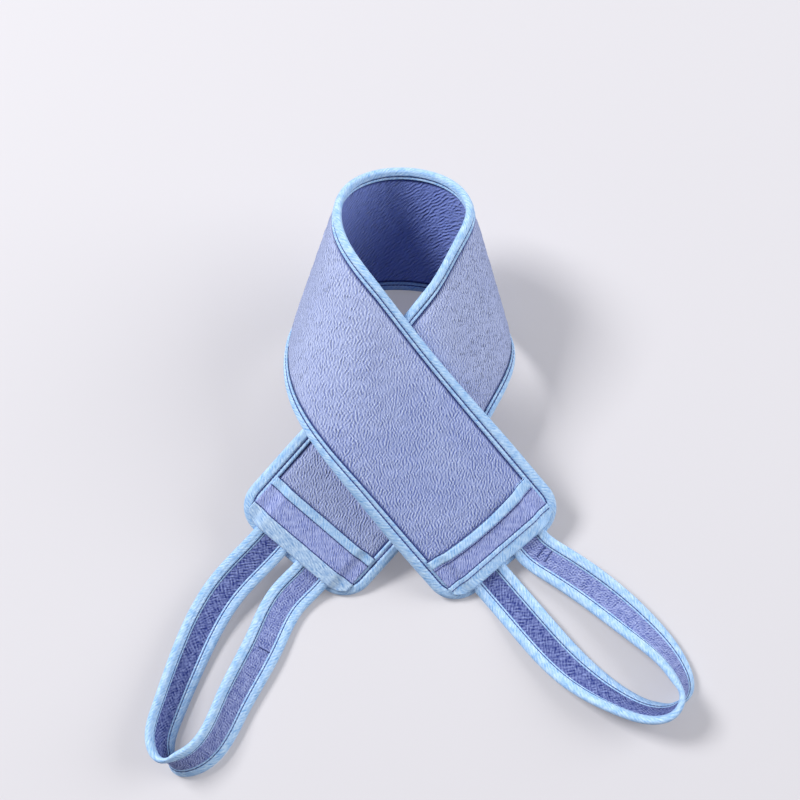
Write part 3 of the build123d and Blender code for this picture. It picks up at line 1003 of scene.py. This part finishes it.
# %% The middle line of a loop
LEFT_POINTS = [
    (-37.6, -17.4, 11), (-58.6, -61.4, 9.5), (-68.6, -93.4, 11), (-70.6, -110.4, 12),
    (-64.6, -120.4, 12.5), (-52.6, -119.4, 12.5), (-29.6, -85.4, 10), (-12.6, -48.4, 8),
    (-0.6, -22.4, 6.8),
]
LEFT_LEAN = (-0.51, 0.32, 0.8)
RIGHT_POINTS = [
    (7.8, -33, 4.5), (36.8, -64, 6.5), (65.8, -83, 10), (81.8, -88, 11.5), (92.8, -86, 12),
    (99.8, -77, 12.2), (96.8, -63, 11.6), (76.8, -39, 10), (45.8, -13, 8.3), (27.8, -1, 8.5),
]
RIGHT_LEAN = (-0.35, -0.5, 0.79)
LEAN_SHARPNESS = 3.0
SEAM_REACH = 1.8        # from the strap's end to where the loop starts to bend
LOOP_HEIGHT = HALF_PAD + LOOP_THICKNESS / 2
SEWN_LENGTH = 24.0      # of each end of the loop's strap, under the band
SEWN_STEPS = 24
PATH_STEPS = 400


def smooth_path(points, start, end):
    """A smooth curve through points that leaves and arrives in the given directions."""
    chord = np.r_[0, np.cumsum(np.linalg.norm(np.diff(points, axis=0), axis=1))]
    gap, count = np.diff(chord), len(points)
    slopes = np.zeros((count, count))
    aims = np.zeros((count, 3))
    slopes[0, 0] = slopes[-1, -1] = 1
    aims[0], aims[-1] = start, end
    for i in range(1, count - 1):
        slopes[i, i - 1:i + 2] = gap[i], 2 * (gap[i - 1] + gap[i]), gap[i - 1]
        before = (points[i] - points[i - 1]) / gap[i - 1]
        after = (points[i + 1] - points[i]) / gap[i]
        aims[i] = 3 * (gap[i] * before + gap[i - 1] * after)
    rates = np.linalg.solve(slopes, aims)
    run = np.linspace(0, chord[-1], PATH_STEPS + 1)
    i = np.minimum(np.searchsorted(chord, run, side="right") - 1, count - 2)
    part = ((run - chord[i]) / gap[i])[:, None]
    rest = 1 - part
    return (points[i] * (1 + 2 * part) * rest**2 + points[i + 1] * (1 + 2 * rest) * part**2
            + (rates[i] * rest - rates[i + 1] * part) * gap[i, None] * part * rest)


class LoopPath:
    """Where a hand loop's strap runs: its middle line, its width and its face."""

    def __init__(self, arm, first_row, points, lean):
        along, across, _ = (FLOOR_AXES @ direction for direction in end_directions(arm))
        self.away = along * arm
        middle = np.array([[arm * (PAD_HALF_LENGTH + SEAM_REACH), 0, LOOP_HEIGHT]])
        self.seam = rolled(middle)[0]
        first, second = self.seam + across * first_row, self.seam - across * first_row
        foot = self.seam * (1, 1, 0) + (0, 0, ORIGIN[2])
        line = smooth_path(np.vstack([first, foot + np.array(points), second]),
                           self.away, -self.away)
        share = np.linspace(0, 1, len(line))
        weight = np.sin(pi * share)[:, None] ** LEAN_SHARPNESS
        flat = across * (1 if first_row > 0 else -1)
        width = flat * (1 - weight) + np.array(lean) * weight
        sewn = np.linspace(SEWN_LENGTH, 0, SEWN_STEPS + 1)[:-1, None]
        line = np.vstack([first - self.away * sewn, line, second - self.away * sewn[::-1]])
        sewn_width = np.repeat([flat], SEWN_STEPS, axis=0)
        width = np.vstack([sewn_width, width, sewn_width])
        forward = unit(np.gradient(line, axis=0))
        self.line = line
        self.width = unit(width - forward * (width * forward).sum(axis=1)[:, None])
        self.face = np.cross(forward, self.width)
        self.run = np.r_[0, np.cumsum(np.linalg.norm(np.diff(line, axis=0), axis=1))]
        self.length = self.run[-1]

    def laid(self, strip):
        """Places on the loop for places on its strip: along from the middle, across, out."""
        along = strip[:, 0] + self.length / 2
        line, width, face = (
            np.stack([np.interp(along, self.run, table[:, axis]) for axis in range(3)], axis=1)
            for table in (self.line, self.width, self.face)
        )
        return settled(line + unit(width) * strip[:, 1:2] + unit(face) * strip[:, 2:3])


PATHS = {
    "right": LoopPath(OVER, LOOP_SPACING / 2, RIGHT_POINTS, RIGHT_LEAN),
    "left": LoopPath(UNDER, -LOOP_SPACING / 2, LEFT_POINTS, LEFT_LEAN),
}
for side, path in PATHS.items():
    print(side, "loop strap is", round(path.length), "mm long, seam at", path.seam.round(1))

# %% [markdown]
# The strap has a smooth knit on one face, an open lining on the other, and a folded twill
# tape on both edges. Each is cut as a long strip and laid along the path. All of them
# cross the seam, and the path runs on straight under the band at both ends.

# %% The loop's strap
LOOP_TAPE = 6.2         # width of the tape on each face
LOOP_SEAM = 1.3         # from the tape's inner edge to its stitches
LOOP_ROLL = 1.75
LOOP_PUFF = 1.0
LOOP_SWELL, LOOP_SWELL_LENGTH = 0.25, 2.0
LOOP_STEP, LOOP_STEP_BEFORE, LOOP_STEP_LENGTH = 0.65, 0.8, 0.9
LOOP_GROOVE, LOOP_GROOVE_HALF = 0.25, 0.45
LOOP_HEM_DROP, LOOP_HEM = 0.5, 0.3
TAPE_HALF = LOOP_TAPE + LOOP_PUFF - LOOP_ROLL + pi / 2 * LOOP_ROLL
KNIT_HALF = LOOP_WIDTH / 2 - LOOP_TAPE + 0.8
KNIT_HEIGHT, KNIT_BELLY = 0.55, 0.3
KNIT_THICKNESS, LOOP_TAPE_THICKNESS = 0.6, 0.45
SEAM_HEIGHT, CROSS_SEAM_HEIGHT = 1.0, 1.2
CROSS_SEAM_INSET = 0.9
CROSS_SEAMS = {"right": (6.5, 12.0), "left": (52.0,)}    # distances from where it is sewn


def loop_fold(across):
    """Inset from the loop's edge and height on it, for a distance from the tape's middle."""
    face, inset, height = roll_over(across, LOOP_ROLL, LOOP_SWELL, LOOP_SWELL_LENGTH)
    inset = inset - LOOP_PUFF
    past_seam = inset - LOOP_TAPE + LOOP_SEAM
    height -= LOOP_STEP * smoothstep((past_seam + LOOP_STEP_BEFORE) / LOOP_STEP_LENGTH)
    height -= LOOP_GROOVE * np.exp(-((past_seam / LOOP_GROOVE_HALF) ** 2))
    height -= LOOP_HEM_DROP * smoothstep((inset - LOOP_TAPE + LOOP_HEM) / LOOP_HEM)
    return inset, face * height


def bend_with(piece):
    """Bake the transform of a piece of a hand loop into its mesh."""
    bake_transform(piece)


def loop_cloth(side, name, face, material, slot, nodes):
    """One of the two cloths of a loop, face +1 or -1."""
    path = PATHS[side]
    piece = grid(f"{side}_{name}", path.length, 2 * KNIT_HALF, step=1.0 * QUICK_STEP)
    strip = places(piece)
    belly = 1 - (strip[:, 1] / KNIT_HALF) ** 4
    strip[:, 2] = face * (KNIT_HEIGHT + KNIT_BELLY * belly)
    if face < 0:
        turn_over(piece)
    set_places(piece, path.laid(strip))
    thicken(piece, KNIT_THICKNESS)
    dress(piece, material, slot, *nodes)
    bend_with(piece)


def loop_tape(side, name, edge, node_name):
    """The tape folded over one edge of a loop, edge +1 or -1."""
    path = PATHS[side]
    piece = grid(f"{side}_{name}", path.length, 2 * TAPE_HALF,
                 step=1.1 * QUICK_STEP, step_across=0.5)
    strip = places(piece)
    inset, height = loop_fold(strip[:, 1])
    across = edge * (LOOP_WIDTH / 2 - inset)
    set_places(piece, path.laid(np.stack([strip[:, 0], across, edge * height], axis=1)))
    turn_over(piece)
    thicken(piece, LOOP_TAPE_THICKNESS)
    dress(piece, TAPE, "tape", node_name)
    bend_with(piece)


for side, path in PATHS.items():
    loop_cloth(side, "loop_knit", 1, KNIT, "webbing", [f"{side}_loop_face", f"{side}_sewn_ends"])
    loop_cloth(side, "loop_open_lining", -1, LINING, "lining", [f"{side}_loop_lining"])
    loop_tape(side, "loop_tape_upper", 1, f"{side}_loop_upper_tape")
    loop_tape(side, "loop_tape_lower", -1, f"{side}_loop_lower_tape")
    rows = []
    for edge in (1, -1):
        for face in (1, -1):
            row = stitch_row("loop_seam", -path.length / 2, path.length / 2)
            strip = places(row)
            strip[:, 1] += edge * (LOOP_WIDTH / 2 - LOOP_TAPE + LOOP_SEAM)
            strip[:, 2] = face * (SEAM_HEIGHT + strip[:, 2])
            set_places(row, path.laid(strip))
            rows.append(row)
    for gap in CROSS_SEAMS[side]:
        row = stitch_row("cross_seam", CROSS_SEAM_INSET - KNIT_HALF, KNIT_HALF - CROSS_SEAM_INSET)
        strip = places(row)
        along = path.length / 2 - SEWN_LENGTH - gap + strip[:, 1]
        height = CROSS_SEAM_HEIGHT + strip[:, 2]
        set_places(row, path.laid(np.stack([along, strip[:, 0], height], axis=1)))
        rows.append(row)
    seam = joined(f"{side}_loop_seams", rows)
    bend_with(seam)
    print(side, "hand loop made of 4 pieces and", len(rows), "rows of stitches")

# %% [markdown]
# ## Floor, light and camera
#
# The scrubber lies on a pale floor that glows a little by itself, as a bright backdrop
# does. Only the camera sees that glow, so it throws no light up on the cloth.

# %% Floor
FLOOR_SIZE = 12
FLOOR_COLOUR, GLOW_COLOUR = "#B7B5B8", "#DDDCE4"
GLOW = 0.25
bpy.ops.object.select_all(action="DESELECT")
bpy.ops.mesh.primitive_plane_add(size=FLOOR_SIZE)
floor = bpy.context.object
floor.name = "floor"
floor_paint = bpy.data.materials.new("pale_floor")
floor_paint.use_nodes = True
floor_shader = floor_paint.node_tree.nodes["Principled BSDF"]
floor_shader.inputs["Base Color"].default_value = shade(FLOOR_COLOUR)
floor_shader.inputs["Roughness"].default_value = 0.9
floor_shader.inputs["Emission Color"].default_value = shade(GLOW_COLOUR)
seen = node(floor_paint.node_tree, "ShaderNodeLightPath").outputs["Is Camera Ray"]
glow = node(floor_paint.node_tree, "ShaderNodeMath", {"operation": "MULTIPLY", 1: GLOW}, {0: seen})
floor_paint.node_tree.links.new(glow.outputs[0], floor_shader.inputs["Emission Strength"])
floor.data.materials.append(floor_paint)
print("floor", FLOOR_SIZE, "m wide")

# %% [markdown]
# The light is broad and soft, from the upper left, with a weaker and larger one from the
# right. It leaves a soft shadow to the right and keeps the inside of the hoop dark.

# %% Lights
SKY_COLOUR = "#E4E6F0"
SKY_STRENGTH = 0.33
world = bpy.data.worlds.new("studio")
world.use_nodes = True
sky = world.node_tree.nodes["Background"]
sky.inputs["Color"].default_value = shade(SKY_COLOUR)
sky.inputs["Strength"].default_value = SKY_STRENGTH
bpy.context.scene.world = world


def soft_box(name, place, size, power):
    """A square studio light that points at the middle of the floor."""
    lamp = bpy.data.lights.new(name, "AREA")
    lamp.size = size
    lamp.energy = power
    box = bpy.data.objects.new(name, lamp)
    bpy.context.collection.objects.link(box)
    box.location = place
    box.rotation_euler = (-Vector(place)).to_track_quat("-Z", "Y").to_euler()
    print(name, "light of", power, "W")


soft_box("key", (-1.8, 0.85, 2.1), size=0.9, power=86)
soft_box("fill", (2.2, 0.6, 1.4), size=2.0, power=54)

# %% [markdown]
# The camera stands close in front and looks steeply down, a little turned and tilted to
# one side, with a lens somewhat longer than the eye sees.

# %% Camera
CAMERA_PLACE = (0.0315, -0.2320, 0.8446)
CAMERA_DOWN, CAMERA_TURN, CAMERA_ROLL = (radians(angle) for angle in (71.0, -9.7, -8.8))
LENS_MM, SENSOR_MM = 62.9, 36.0
camera = bpy.data.objects.new("camera", bpy.data.cameras.new("camera"))
bpy.context.collection.objects.link(camera)
camera.location = CAMERA_PLACE
looking = Vector((sin(CAMERA_TURN) * cos(CAMERA_DOWN), cos(CAMERA_TURN) * cos(CAMERA_DOWN),
                  -sin(CAMERA_DOWN)))
roll = Quaternion((0, 0, 1), CAMERA_ROLL)
camera.rotation_euler = (looking.to_track_quat("-Z", "Y") @ roll).to_euler()
camera.data.lens = LENS_MM
camera.data.sensor_width = SENSOR_MM
bpy.context.scene.camera = camera
bpy.context.scene.view_settings.view_transform = "Standard"
print("camera", round(CAMERA_PLACE[2], 2), "m up, lens", LENS_MM, "mm")
